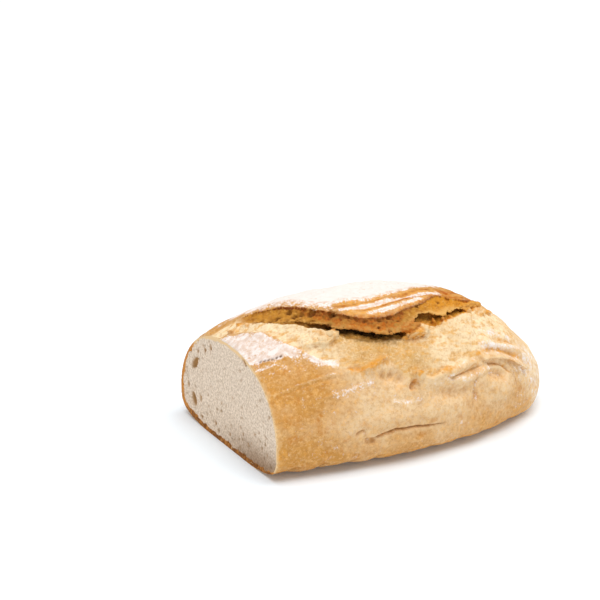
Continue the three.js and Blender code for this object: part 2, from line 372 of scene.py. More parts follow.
# holes in the cut face: y, z, half length, half width, turn, depth
bigPores = [
    (52.5, 46, 7.2, 3.1, 139, 4), (55, 17.5, 5.4, 4.0, 60, 4), (25.2, 65.8, 2.2, 1.8, 110, 2.6),
    (34.8, 61.2, 2.0, 1.7, 90, 2.4), (64.7, 26, 2.6, 1.7, 80, 2.5), (43.8, 21.8, 3.4, 1.6, 75, 1.2),
    (-29.2, 72.6, 4.0, 1.5, 30, 2.4), (18.8, 11.5, 2.2, 1.5, 80, 2.2), (-26.5, 19, 1.4, 1.0, 90, 1.8),
    (-5.2, 11.2, 1.6, 1.2, 90, 2.0), (-43.8, 25.2, 1.3, 0.9, 90, 1.5), (-63.2, 17, 1.4, 0.9, 90, 1.6),
    (47, 57, 2.0, 1.3, 100, 2.0), (13, 7.8, 1.8, 1.1, 80, 1.8), (-55.8, 19.2, 1.3, 0.9, 90, 1.4),
    (-34, 14.2, 1.4, 1.0, 80, 1.6), (42, 8, 2.4, 1.2, 20, 2.0), (-22.5, 64, 1.3, 0.9, 60, 1.4),
    (-10, 40, 1.8, 0.9, 40, 1.0), (8, 30, 1.6, 1.0, 120, 1.0),
]
finePores = {"number": 420, "smallest": 0.55, "largest": 1.5, "seed": 11}


def smoothLine(path, steps=8):        # a denser line through the given points
    p = np.array(path, float)
    if len(p) < 3:
        return p
    p = np.vstack([2 * p[0] - p[1], p, 2 * p[-1] - p[-2]])
    dense = []
    for a, b, c, d in zip(p, p[1:], p[2:], p[3:]):
        for t in np.linspace(0, 1, steps, endpoint=False):
            dense.append(b + (c - a) * t / 2 + (2 * a - 5 * b + 4 * c - d) * t**2 / 2
                         + (3 * b - a - 3 * c + d) * t**3 / 2)
    dense.append(p[-2])
    return np.array(dense)


# distance to a line drawn on the crust, the side of it and the share of its length; the side is + towards
# the base on a line that runs away from the cut
def lineDistance(station, angle, path, reach):
    line = smoothLine(path) * [1, arcPerDegree]
    x, y = station, angle * arcPerDegree
    near, side, share = np.full(len(x), 1e3), np.ones(len(x)), np.zeros(len(x))
    inside = np.nonzero((x > line[:, 0].min() - reach) & (x < line[:, 0].max() + reach)
                        & (y > line[:, 1].min() - reach) & (y < line[:, 1].max() + reach))[0]
    px, py = x[inside], y[inside]
    best, bestSide, bestShare = near[inside], side[inside], share[inside]
    for i, (a, b) in enumerate(zip(line, line[1:])):
        ab = b - a
        t = np.clip(((px - a[0]) * ab[0] + (py - a[1]) * ab[1]) / (ab @ ab + 1e-9), 0, 1)
        dx, dy = px - a[0] - t * ab[0], py - a[1] - t * ab[1]
        d = np.hypot(dx, dy)
        closer = d < best
        best[closer] = d[closer]
        bestSide[closer] = np.sign(ab[0] * dy - ab[1] * dx)[closer]
        bestShare[closer] = ((i + t) / (len(line) - 1))[closer]
    near[inside], side[inside], share[inside] = best, bestSide, bestShare
    return near, side, share


def fadeEnds(share, ends):
    return ease(0, ends, share) * ease(0, ends, 1 - share)


def strokeHeight(station, angle, kind, height, width, ends, path):
    d, side, share = lineDistance(station, angle, path, 3 * width + 3)
    body = np.exp(-(d / width) ** 2)
    if kind == "groove":                 # steeper sides
        body = np.exp(-(d / width) ** 1.5)
    if kind in ("shelf", "ledge"):       # one side drops sharply, the other fades slowly
        body = np.where(side > 0, np.exp(-d / width), np.exp(-(d / 0.9) ** 2))
    return height * body * fadeEnds(share, ends)


def dented(station, angle, place, halfLength, halfWidth):        # 1 in the middle of an oval, 0 outside it
    far = np.hypot((station - place[0]) / halfLength, (angle - place[1]) * arcPerDegree / halfWidth)
    return np.exp(-far ** 3)


def insideOutline(station, angle, path):        # millimetres from a closed outline on the crust, + inside
    line = np.array(path + [path[0]], float) * [1, arcPerDegree]
    x, y = station, angle * arcPerDegree
    inside, near = np.zeros(len(x), bool), np.full(len(x), 1e3)
    for a, b in zip(line, line[1:]):
        ab = b - a
        rise = ab[1] if abs(ab[1]) > 1e-9 else 1e-9
        inside ^= ((a[1] > y) != (b[1] > y)) & (x < a[0] + (y - a[1]) / rise * ab[0])
        t = np.clip(((x - a[0]) * ab[0] + (y - a[1]) * ab[1]) / (ab @ ab + 1e-9), 0, 1)
        near = np.minimum(near, np.hypot(x - a[0] - t * ab[0], y - a[1] - t * ab[1]))
    return np.where(inside, near, -near)


def shredPlace(where):        # its centre and the way out of the loaf there
    station, angle, over = where
    y, z = ringPoint(np.array(station, float), np.array(angle, float))
    outward = Vector((0, y - loafForm["sway"], z - loafForm["heart"])).normalized()
    return Vector((station, y, z)) + outward * over, outward


def addShred(where, size, turn, seed):
    centre, outward = shredPlace(where)
    bpy.ops.mesh.primitive_ico_sphere_add(subdivisions=4, radius=1)
    shred = bpy.context.object
    ball = coords(shred)
    ragged = [[noise.noise((a * 1.7 + seed, b * 1.7, c * 1.7 + k * 9)) for k in range(3)]
              for a, b, c in ball.tolist()]
    c, s = math.cos(math.radians(turn)), math.sin(math.radians(turn))
    lengthwise = Vector((1, 0, 0))
    sideways = outward.cross(lengthwise)
    axes = [lengthwise * c + sideways * s, sideways * c - lengthwise * s, outward]
    pulled = (ball + 0.25 * np.array(ragged)) * size
    setCoords(shred, pulled @ np.array(axes) + np.array(centre))
    return shred


def applyModifier(piece, kind, **settings):
    modifier = piece.modifiers.new(kind.lower(), kind)
    for name, value in settings.items():
        setattr(modifier, name, value)
    onlySelect(piece)
    bpy.ops.object.modifier_apply(modifier=modifier.name)


def giveGroup(piece, name, weights):
    group = piece.vertex_groups.new(name=name)
    for i in np.nonzero(weights > 0.01)[0].tolist():
        group.add([i], float(weights[i]), "REPLACE")


# the surface moves along its normals by a soft procedural noise, inside a vertex group
def roughen(piece, name, kind, size, depth, height, group, middle=0.5):
    pattern = bpy.data.textures.new(name, kind)
    pattern.noise_scale = size
    if kind == "CLOUDS":
        pattern.noise_depth = depth
    applyModifier(piece, "DISPLACE", texture=pattern, strength=height, mid_level=middle, vertex_group=group)


perforationPlaces = smoothLine(perforations["path"])[::3]

bpy.ops.object.select_all(action="DESELECT")
loaf, firstPoints, firstSection = makeBody()
middleY = (firstPoints[:, 1].min() + firstPoints[:, 1].max()) / 2
print("body", len(loaf.data.vertices), "vertices")
tornBits = [addShred(where, size, turn, 3.7 * i) for i, (where, size, turn) in enumerate(shreds)]
onlySelect(loaf)
for bit in tornBits:
    bit.select_set(True)
bpy.ops.object.join()
applyModifier(loaf, "REMESH", mode="VOXEL", voxel_size=loafForm["voxel"])
print("one skin", len(loaf.data.vertices), "vertices")

# where each point of the skin lies on the loaf
ringTree = kdtree.KDTree(len(firstPoints))
for i, point in enumerate(firstPoints.tolist()):
    ringTree.insert(point, i)
ringTree.balance()


def loafMap(skin):        # station, angle and section of each point
    station = np.clip(skin[:, 0], 0, lastStation)
    angle = ringAngle(station, skin[:, 1], skin[:, 2])
    return station, angle, firstSection[[ringTree.find(point)[1] for point in skin.tolist()]]


skin = coords(loaf)
station, angle, section = loafMap(skin)
opened = ease(15, 26, station) * (1 - ease(190, 203, station))
torn = ease(1.98, 2.04, section) * (1 - ease(2.94, 3.02, section)) * opened
bloom = ease(-1.5, 1.5, insideOutline(station, angle, crustEdge + crownEdge)) * (1 - torn) * (angle < 170)
normals = coords(loaf, "normal")
onCut = (skin[:, 0] < 0.6) & (normals[:, 0] < -0.5)
onBase = (skin[:, 2] < 0.6) & (normals[:, 2] < -0.5)
free = ease(0.3, 3.0, skin[:, 0]) * ease(0.3, 3.0, skin[:, 2])

# shape the skin with the strokes
ringWay = ringPoint(station, angle + 1) - ringPoint(station, angle)
towardsBase = np.column_stack([np.zeros(len(station)), ringWay])
towardsBase /= np.linalg.norm(towardsBase, axis=1, keepdims=True) + 1e-9
moved = skin.copy()
for kind, height, width, ends, lean, path in strokes:
    h = strokeHeight(station, angle, kind, height, width, ends, path) * (1 - torn) * free
    moved += normals * h[:, None] + towardsBase * (lean * h)[:, None]
onWall = np.abs(section - 2.3) < 0.6
for pitStation, pitAngle, halfLength, halfWidth, depth in pits:
    dent = depth * dented(station, angle, (pitStation, pitAngle), halfLength, halfWidth)
    moved -= normals * (dent * free * onWall)[:, None]
for place in perforationPlaces:
    dent = dented(station, angle, place, perforations["halfLength"], perforations["halfWidth"])
    moved -= normals * (perforations["depth"] * dent * free)[:, None]
setCoords(loaf, moved)
print("strokes", len(strokes), "hollows", len(pits) + len(perforationPlaces))

# lumps and grain
crustSkin = (1 - torn) * (1 - bloom)
giveGroup(loaf, "free", free)
giveGroup(loaf, "crust", crustSkin * free)
giveGroup(loaf, "bloom", bloom * free)
giveGroup(loaf, "torn", torn * free)
roughen(loaf, "broadLumps", "CLOUDS", 26, 1, 3.0, "free")
roughen(loaf, "lumps", "CLOUDS", 9, 2, 1.4, "free")
roughen(loaf, "crustGrain", "CLOUDS", 2.6, 2, 0.5, "crust")
roughen(loaf, "bloomFolds", "CLOUDS", 7.0, 2, 1.6, "bloom")
roughen(loaf, "bloomGrain", "CLOUDS", 2.4, 3, 1.5, "bloom")
roughen(loaf, "tornLumps", "CLOUDS", 5.0, 3, 3.0, "torn")
roughen(loaf, "tornPores", "VORONOI", 2.6, 0, 1.6, "torn")

# holes in the cut face
cutRing = ringPoint(np.zeros(180), np.linspace(0, 358, 180))


def fromCutEdge(y, z):        # millimetres from the edge of the cut face
    near = np.full(len(y), 1e3)
    for (ay, az), (by, bz) in zip(cutRing, np.roll(cutRing, -1, axis=0)):
        dy, dz = by - ay, bz - az
        t = np.clip(((y - ay) * dy + (z - az) * dz) / (dy * dy + dz * dz + 1e-9), 0, 1)
        near = np.minimum(near, np.hypot(y - ay - t * dy, z - az - t * dz))
    return near


def inPore(y, z, pore):        # how far along and across a pore, 1 at its edge
    middle, height, halfLength, halfWidth, turn, depth = pore
    c, s = math.cos(math.radians(turn)), math.sin(math.radians(turn))
    across, up = y - middle, z - height
    return (across * c + up * s) / halfLength, (up * c - across * s) / halfWidth


random = np.random.default_rng(finePores["seed"])
pores = list(bigPores)
while len(pores) < finePores["number"]:
    y, z = random.uniform(-80, 80), random.uniform(0, 80)
    wanted = 0.35 + 0.65 * max(1 - z / 30, (y - 20) / 50, 0)      # more of them near the base and the rear
    radius = finePores["smallest"] + (finePores["largest"] - finePores["smallest"]) * random.random() ** 3
    stretch, turn, keep = random.uniform(1, 1.7), random.uniform(0, 180), random.random()
    if keep < wanted:
        pores.append((y, z, radius * stretch, radius, turn, radius * 1.1))
loafPoints = coords(loaf)
cutY, cutZ = loafPoints[onCut, 1], loafPoints[onCut, 2]
hollow = np.zeros(len(cutY))
for pore in pores:
    u, v = inPore(cutY, cutZ, pore)
    hollow = np.maximum(hollow, pore[-1] * np.sqrt(np.clip(1 - u ** 2 - v ** 2, 0, 1)))
loafPoints[onCut, 0] = hollow * ease(0.6, 1.6, fromCutEdge(cutY, cutZ))
loafPoints[onBase, 2] = 0
loafPoints[:, 2] = np.maximum(loafPoints[:, 2], 0)
loafPoints[:, 0] = np.clip(loafPoints[:, 0], 0, loafLength)
setCoords(loaf, loafPoints)
print("holes in the cut face", len(pores))

setCoords(loaf, (loafPoints - (0, middleY, 0)) * mm + (lowCorner.x, 0, 0))        # to metres, in its place
applyModifier(loaf, "DECIMATE", ratio=loafForm["triangles"] / (2 * len(loaf.data.polygons)))
print("triangles", sum(len(p.vertices) - 2 for p in loaf.data.polygons))
bpy.ops.object.shade_smooth()

# finish of the crust and the crumb
dustings = [        # flour: amount, half width in mm, path
    (1.0, 3.4, [(30, 122), (41, 133), (48, 135), (55, 137)]),
    (0.75, 1.6, [(0, 118), (4, 120.5), (11, 122), (18, 125)]),
    (0.38, 0.8, [(0, 140), (16, 140), (30, 141), (44, 141), (56, 141.5)]),
    (0.58, 3.8, [(38, 152), (52, 152), (63, 151), (78, 150.5)]), (0.25, 3.0, [(20, 149), (34, 150)]),
    (0.65, 2.0, [(84, 161.5), (93, 163), (99, 164), (112, 163)]),
    (0.3, 4.0, [(112, 158), (130, 158), (146, 160)]),
    (0.55, 3.2, [(125, 156), (139, 157), (153, 158), (163, 156), (170, 154), (180, 153.5)]),
    (0.5, 2.2, [(141, 151.5), (148, 149.5), (156, 148.5), (164, 147.5)]),
    (0.55, 2.2, [(168, 146.5), (178, 145), (191, 146), (201, 149), (209, 152.5), (215, 158)]),
    (0.72, 4.0, [(164, 143), (175, 140), (190, 140.5), (208, 140), (218, 146), (224, 153), (226, 166)]),
    (0.6, 4.5, [(168, 132), (184, 130), (198, 131), (208, 133)]),
    (0.5, 1.4, [(167, 160), (172, 157), (179, 158), (186, 161)]),
    (0.4, 2.2, [(160, 158), (157.5, 166), (158, 174)]),
    (1.1, 1.9, [(65, 105), (72, 106.6), (80, 107.4), (90, 107.8), (100, 107.3), (117, 105.6), (135, 104),
                (154, 100.8), (163, 101.8)]),
    (1.1, 1.8, [(83, 113.2), (91, 114), (100, 113.7), (110, 112.2), (122, 110), (132, 107.8),
                (140, 105.4)]),
]
dustings += [(0.55, 0.9, line) for line in tipLines]
flourPatches = [        # amount, softness of the edge in mm, outline
    (1.08, 2.5, [(-4, 80), (3, 84), (12, 91), (18, 100), (24, 112), (33, 122.5), (28, 126), (19, 121),
                 (13, 119.5), (8, 117), (1, 113.5), (-4, 112)]),
    (1.3, 1.6, [(11, 113), (14, 111.5), (19, 112.5), (21, 115), (17, 117), (12, 116)]),
    (0.36, 7.0, [(-4, 112), (10, 116), (30, 124), (46, 132), (58, 139), (40, 137), (20, 131), (0, 127)]),
    (1.21, 4.6, [(20, 42), (20, 70), (27, 73), (35, 78), (46, 86), (54, 92.5), (61, 98), (69, 99.7),
                 (80, 101), (95, 102), (113, 99.5), (132, 97), (148, 94), (162, 91.5), (172, 86),
                 (190, 78), (210, 66), (226, 52), (215, 40), (180, 34), (120, 32), (60, 36)]),
    (0.75, 5.0, [(18, 64), (24, 76), (35, 85), (46, 93), (56, 100.5), (63, 104), (70, 104), (66, 95),
                 (40, 70)]),
    (0.5, 12.0, [(-5, 20), (-5, 66), (20, 70), (40, 40), (40, 10)]),
    (0.16, 30.0, [(0, 130), (120, 150), (230, 140), (250, 180), (200, 215), (60, 215), (0, 200)]),
    (0.5, 12.0, [(196, 140), (225, 128), (246, 140), (248, 190), (225, 196), (208, 170)]),
]
toasted = [        # orange brown edges: amount, half width in mm, path
    (0.9, 1.8, [(62, 102.5), (69, 103.4), (79, 104.3), (94, 105), (109, 104), (127, 101.8), (145, 98),
                (160, 96)]),
    (1.1, 1.6, [(74, 110), (87, 110.9), (100, 110.5), (114, 108.8), (128, 106.3), (142, 103.4),
                (156, 102)]),
    (0.4, 1.2, [(100, 99), (113, 97.5), (130, 94.5), (146, 91)]),
    (0.25, 1.5, [(110, 84), (125, 82), (140, 82)]),
    (1.1, 5.0, [(154, 100), (165, 97), (176, 95), (186, 95), (196, 101)]),
    (1.1, 2.6, [(156, 102.5), (166, 102), (176, 102), (186, 101)]),
    (0.85, 1.8, [(58, 118), (57.5, 121.5), (53, 123.5)]),
    (0.5, 1.4, [(53, 123.5), (48, 124.5), (44, 122.5), (38, 121.5)]),
    (1.1, 4.0, [(54, 141), (69, 143.6), (75, 142.6), (82, 140.8), (87, 140)]),
    (0.8, 2.6, [(80, 141.2), (85, 139.8), (88, 141), (86, 144)]),
    (1.3, 2.0, [(106.5, 152.5), (109, 151), (111.5, 151.5)]),
    (0.55, 2.4, [(102.5, 159.5), (103.5, 156.5), (106, 155), (109, 154)]),
    (0.6, 2.2, [(126, 153), (132, 152), (140, 151.5)]),
    (1.2, 2.2, [(103, 127.8), (111, 126.4), (118, 124.8), (123, 126.6), (126.5, 128.6), (128, 130)]),
    (1.15, 3.4, [(104, 129), (111, 130), (118, 131), (123, 131.5)]),
    (0.5, 1.4, [(76, 123.5), (86, 128), (96, 128.5)]),
    (0.75, 1.8, [(16, 97), (20, 104), (25, 113), (31, 121), (37, 129)]),
    (0.75, 2.2, [(1, 80), (7, 81.5), (12, 82)]),
    (1.0, 1.9, [(160, 146.5), (171, 143.6), (184, 143), (199, 145), (212, 149)]),
    (0.75, 2.6, [(183, 133.5), (192, 134.5), (201, 136), (208, 137)]),
    (0.7, 2.0, [(201, 125), (205, 129.5), (211, 133.5)]),
    (0.5, 3.0, [(120, 152.5), (136, 151), (150, 149.5)]), (0.5, 6.0, [(52, 133), (62, 137), (70, 140)]),
    (0.75, 0.9, [(170, 152.5), (175, 151.5), (185, 152.5), (192, 156), (197, 161)]),
    (0.6, 0.9, [(141, 155), (152, 154), (163, 152.5), (170, 152)]),
    (0.9, 2.4, [(133, 152.5), (138, 151.5), (144, 151)]),
    (0.5, 5.0, [(60, 205), (120, 205), (180, 203), (230, 195)]),
    (0.7, 5.0, [(150, 200), (190, 194), (215, 188), (234, 181)]), (0.5, 3.0, [(55, 127), (63, 130)]),
    (0.4, 7.0, [(38, 160), (43, 161)]), (0.4, 6.0, [(57, 157), (61, 158)]),
    (0.3, 6.0, [(60, 174), (64, 175)]), (0.3, 6.0, [(76, 176), (80, 177)]),
    (0.35, 6.0, [(20, 165), (26, 172)]), (0.35, 5.0, [(28, 147), (34, 148)]),
    (0.6, 3.0, [(70, 131), (76, 134)]), (0.6, 2.0, [(40, 112), (48, 118), (55, 121)]),
]

# along the tear: tones of the wall and the bloom, strength of the painted shade in the crevice and of the
# painted shadow below it
tearShade = {
    "wallTone": [(20, 0.5), (48, 0.35), (60, 0.0), (95, 0.0), (118, 0.3), (140, 0.85), (200, 0.95)],
    "bloomTone": [(0, 0.9), (40, 1.0), (52, 0.6), (64, 0.1), (80, 0.0), (115, 0.4), (135, 0.75),
                  (185, 0.85), (215, 0.85)],
    "crevice": [(15, 0.4), (45, 0.5), (60, 0.9), (110, 0.9), (120, 0.6), (160, 0.5), (195, 0.4)],
    "below": [(50, 0.3), (60, 0.8), (72, 1.1), (100, 1.1), (112, 0.8), (122, 0.3), (132, 0.5), (150, 0.5),
              (165, 0.2), (180, 0)],
}
lipToast = {        # along the lip: width of the brown band over it, share of the wall it covers, darkness of its edge, and strength of the painted highlight at the foot of the wall
    "band": [(12, 1.2), (30, 1.4), (58, 2.2), (72, 4.4), (95, 6.0), (115, 5.4), (140, 3.6), (155, 5),
             (172, 7.0), (200, 5)],
    "wall": [(12, 0.55), (42, 0.6), (52, 1.1), (62, 1.6), (100, 1.6), (116, 0.9), (135, 0.35), (165, 0.2),
             (185, 0.6), (200, 0.8)],
    "dark": [(12, 0.8), (60, 1), (72, 0.8), (90, 0.6), (115, 0.55), (140, 0.4), (160, 0.4), (200, 0.2)],
    "pale": [(12, 0.2), (40, 0.3), (60, 0.4), (100, 0.5), (120, 0.6), (150, 0.8), (200, 0.5)],
}

shades = {        # colours as red, green, blue from 0 to 255
    "goldCrust": (204, 146, 74), "creamCrust": (237, 204, 160), "deepCrust": (196, 124, 44),
    "edgeCrust": (188, 128, 70), "glowCrust": (232, 166, 76), "freckle": (188, 130, 64),
    # the first and last colours on the next line are a painted highlight for crests and painted shade for
    # hollows
    "crestHighlight": (244, 216, 170), "goldSpeck": (240, 202, 146), "hollowShade": (176, 118, 54),
    "bloomCream": (214, 170, 106), "bloomPale": (252, 228, 188), "bloomGold": (226, 168, 84),
    "tornGold": (216, 146, 42), "tornOlive": (174, 124, 54), "tornBrown": (158, 92, 34),
    # the two browns after tornPale on the next line are painted shade, in the pits and in the crevice
    "tornPale": (228, 180, 108), "pitShadeBrown": (104, 60, 20), "creviceShadeBrown": (72, 44, 16),
    "shadowOlive": (150, 112, 62), "toastOrange": (188, 102, 26), "toastGold": (226, 158, 66),
    "toastBrown": (134, 68, 20), "toastDark": (122, 58, 14), "flourWhite": (252, 243, 238),
    "flourShade": (230, 206, 190), "crumbWhite": (252, 231, 209), "crumbShade": (210, 187, 162),
    # on the next line the two hole colours are painted shade inside the holes, and the low crumb colour is
    # painted shadow
    "crumbHoleShade": (184, 154, 116), "crumbHoleShadeDeep": (184, 136, 80), "crumbShadowLow": (176, 156, 138),
    "rimPale": (242, 206, 156), "rimGold": (210, 138, 60), "rimBrown": (136, 84, 38),
}


def shade(name):        # to the linear values that shaders use
    return tuple(((v / 255 + 0.055) / 1.055) ** 2.4 for v in shades[name]) + (1,)


def giveAttribute(piece, name, values):
    layer = piece.data.attributes.new(name, "FLOAT", "POINT")
    layer.data.foreach_set("value", np.ascontiguousarray(values, dtype=np.float32))


def drawn(lines, ends):        # the strongest of many soft lines at each point
    strength = np.zeros(len(station))
    for amount, width, path in lines:
        d, side, share = lineDistance(station, angle, path, 3 * width)
        strength = np.maximum(strength, amount * np.exp(-(d / width) ** 2) * fadeEnds(share, ends))
    return strength


def smoothed(piece, points, rounds):        # each point moves to the middle of its neighbours
    ends = np.empty(2 * len(piece.data.edges), dtype=int)
    piece.data.edges.foreach_get("vertices", ends)
    first, second = ends.reshape(-1, 2).T
    links = np.bincount(ends, minlength=len(points))[:, None]
    for _ in range(rounds):
        total = np.zeros_like(points)
        for axis in range(3):
            total[:, axis] = (np.bincount(first, points[second, axis], len(points))
                              + np.bincount(second, points[first, axis], len(points)))
        points = total / np.maximum(links, 1)
    return points


# the same map of the loaf as before, now on the finished mesh
loaf.vertex_groups.clear()
skin = (coords(loaf) - (lowCorner.x, 0, 0)) / mm + (0, middleY, 0)
station, angle, section = loafMap(skin)
height = skin[:, 2]
opened = ease(15, 26, station) * (1 - ease(190, 203, station))
torn = ease(1.99, 2.03, section) * (1 - ease(2.93, 3.0, section)) * opened
bloomEdge = 1.5 + 9 * ease(175, 205, station)
bloom = ease(-bloomEdge, bloomEdge, insideOutline(station, angle, crustEdge + crownEdge))
bloom *= (1 - torn) * (angle < 170) * (1 - (section < 2.5) * opened)

# flour
flour = drawn(dustings, 0.12)
for amount, soft, path in flourPatches:
    reach = soft + 14 * ease(80, 55, angle) * (angle < 180)         # it thins out slowly towards the rear
    flour = np.maximum(flour, amount * ease(-reach, reach, insideOutline(station, angle, path)))
flour *= 1 - torn

# toasted edges, the lip above all
toast = drawn(toasted, 0.1)
crownArc = (along(tear["lip"], station) - tear["crownFrom"]) * arcPerDegree
overLip = np.where(section < 2, (2 - section) * crownArc, 0)
downWall = np.where(section < 2, 0, (section - 2) * 7 / 3)        # 0 at the lip, 1 at the foot of the wall
lipMask = np.exp(-(overLip / along(lipToast["band"], station)) ** 2) * (section > 1) * (section < 2)
wallMask = np.where(section >= 2, 1 - ease(0.35, 1, downWall / along(lipToast["wall"], station)), 0)
toast = np.maximum(toast, np.maximum(0.95 * lipMask, wallMask) * opened)
darkLip = np.exp(-(overLip / 0.9) ** 2) * (1 - ease(0.03, 0.16, downWall)) * (section > 1)
darkLip *= opened * along(lipToast["dark"], station)
flour *= 1 - 0.8 * darkLip
# painted highlight along the rim at the foot of the torn wall
footHighlight = np.exp(-((downWall - 0.93) / 0.11) ** 2) * along(lipToast["pale"], station) * opened * torn
elsewhere = np.where((section > 1) & (section < 2.2), 0.45, 1.05)
toastTone = np.where(torn > 0.5, 0.55 * ease(0.2, 0.95, downWall), elsewhere)
toastTone += 0.5 * ease(146, 168, station) * (section > 2.05)
for where, size, turn in shreds:
    d = np.linalg.norm(skin - np.array(shredPlace(where)[0]), axis=1)
    toast = np.maximum(toast, 0.9 * (1 - ease(0.5 * max(size), 1.4 * max(size), d)))

# painted shade in the small hollows and in the crevice, and painted shadow on the bloom under the torn wall
# painted shade in the small hollows of the torn wall and in the row of pricks
pitShade = np.zeros(len(station))
for pitStation, pitAngle, halfLength, halfWidth, depth in pits:
    dent = dented(station, angle, (pitStation, pitAngle), halfLength, halfWidth)
    pitShade = np.maximum(pitShade, torn * dent)
for place in perforationPlaces:
    size = 1.5 * perforations["halfLength"], 1.5 * perforations["halfWidth"]
    pitShade = np.maximum(pitShade, dented(station, angle, place, *size))
# painted shade: the crevice under the torn wall is coloured dark brown
creviceShade = ease(2.41, 2.52, section) * (1 - ease(2.72, 2.92, section)) * opened
creviceShade *= along(tearShade["crevice"], station)
underWall = np.where(section > 2.9, (angle - along(tear["mouth"], station)) * arcPerDegree, -9)
shadow = np.where(underWall > -6, np.exp(-np.clip(underWall, 0, None) / 2.8), 0)
shadow *= along(tearShade["below"], station)

# paler higher up the front and towards the tip, more orange beside the cut and over the tear, browner along
# the base edge and at the rear
frontSide = ease(95, 125, angle) * (1 - ease(222, 250, angle))
pale = frontSide * (ease(15, 85, station) * (0.3 + 0.7 * ease(8, 40, height)) + ease(200, 236, station))
besideCut = 0.6 * np.exp(-(station / 9) ** 2) * (angle > 120) * (angle < 215)
overTear = 0.9 * ease(60, 75, station) * ease(94, 99, angle) * (section < 2)
lowEdge = 0.55 * (1 - ease(3, 20, height)) + 0.6 * (1 - ease(0, 5, height))
bake = lowEdge + 0.55 * ease(60, 10, angle) * (angle < 90) + 0.8 * (angle > 300)

# the cut face: how far in from the crust, in widths of the rim
nearCut = skin[:, 0] < 12
cutX, cutY, cutZ = skin[nearCut].T
limit = ringPoint(np.zeros(len(cutY)), ringAngle(np.zeros(len(cutY)), cutY, cutZ))
inside = np.hypot(cutY, cutZ - loafForm["belly"]) < np.linalg.norm(limit - (0, loafForm["belly"]), axis=1)
edge = np.where(inside, fromCutEdge(cutY, cutZ), 0)
inCut = np.zeros(len(station))
inCut[nearCut] = np.where((cutX < 0.35) | (edge > 2.5), edge, 0)
rearRim = (0.9 + 1.8 * ease(50, 30, height)) * ease(40, 58, skin[:, 1])
rimWidth = 0.8 + rearRim + 2.6 * ease(9, 4, height) + 1.2 * ease(64, 74, height)
bigHole = np.zeros(len(station))
# strength of the painted shade in each big hole
for pore in bigPores:
    far = np.hypot(*inPore(skin[:, 1], height, pore))
    bigHole = np.maximum(bigHole, np.exp(-far ** 6) * (inCut > 0) * min(1, pore[-1] / 2))

masks = {
    "flour": flour, "toast": toast, "toastTone": toastTone, "darkLip": darkLip, "footHighlight": footHighlight,
    "torn": torn, "tornTone": along(tearShade["wallTone"], station), "pits": pitShade,
    "creviceShade": creviceShade, "shadow": shadow, "bloom": bloom, "bloomTone": along(tearShade["bloomTone"], station),
    "bake": np.clip(bake, 0, 1), "pale": pale, "glow": np.maximum(besideCut, overTear),
    "relief": ((skin - smoothed(loaf, skin, 8)) * coords(loaf, "normal")).sum(1),        # + on crests
    "cutDepth": inCut / rimWidth, "bigHole": bigHole,
    "holeDepth": np.where(inCut > 0.8, np.clip(skin[:, 0], 0, 6), 0),
    # painted shadow: the crumb darkens low on the cut face towards the front
    "crumbShadowLow": ease(30, 4, height) * ease(30, -60, skin[:, 1]),
    "baseSide": np.clip(ease(9, 5, height) + 0.5 * ease(48, 60, skin[:, 1]), 0, 1),
}
for name, values in masks.items():
    giveAttribute(loaf, name, values)
print("colour masks", len(masks))


def wire(tree, socket, value):
    if isinstance(value, bpy.types.NodeSocket):
        tree.links.new(value, socket)
    else:
        socket.default_value = value


def addNode(tree, kind, inputs=None, **settings):
    node = tree.nodes.new("ShaderNode" + kind)
    for name, value in settings.items():
        setattr(node, name, value)
    for name, value in (inputs or {}).items():
        wire(tree, node.inputs[name], value)
    return node


def blend(tree, factor, first, second, kind="MIX"):
    node = addNode(tree, "Mix", {0: factor, 6: first, 7: second}, data_type="RGBA", blend_type=kind)
    return node.outputs[2]


def maths(tree, operation, first, second=0.0, clamp=False):
    return addNode(tree, "Math", {0: first, 1: second}, operation=operation, use_clamp=clamp).outputs[0]


def times(tree, first, second):
    return maths(tree, "MULTIPLY", first, second)


def swung(tree, value, amount):        # a noise of 0 to 1, centred and scaled
    return times(tree, maths(tree, "SUBTRACT", value, 0.5), amount)


def between(tree, value, low, high, toLow=0.0, toHigh=1.0):
    return addNode(tree, "MapRange", {"Value": value, "From Min": low, "From Max": high, "To Min": toLow,
                                      "To Max": toHigh}, interpolation_type="SMOOTHSTEP").outputs[0]


def mask(tree, name):
    return addNode(tree, "Attribute", attribute_name=name).outputs["Fac"]


def noiseAt(tree, where, size, detail=3.0, rough=0.5):        # size in millimetres
    return addNode(tree, "TexNoise", {"Vector": where, "Scale": 1 / (size * mm), "Detail": detail,
                                      "Roughness": rough}).outputs[0]


def newGroup(name, inputs, output, kind):
    group = bpy.data.node_groups.new(name, "ShaderNodeTree")
    group.interface.new_socket("Vector", in_out="INPUT", socket_type="NodeSocketVector")
    for socket, value in inputs.items():
        socketKind = "NodeSocketColor" if value is None else "NodeSocketFloat"
        made = group.interface.new_socket(socket, in_out="INPUT", socket_type=socketKind)
        if value is not None:
            made.default_value = value
    group.interface.new_socket(output, in_out="OUTPUT", socket_type="NodeSocket" + kind)
    return group, group.nodes.new("NodeGroupInput").outputs, group.nodes.new("NodeGroupOutput").inputs


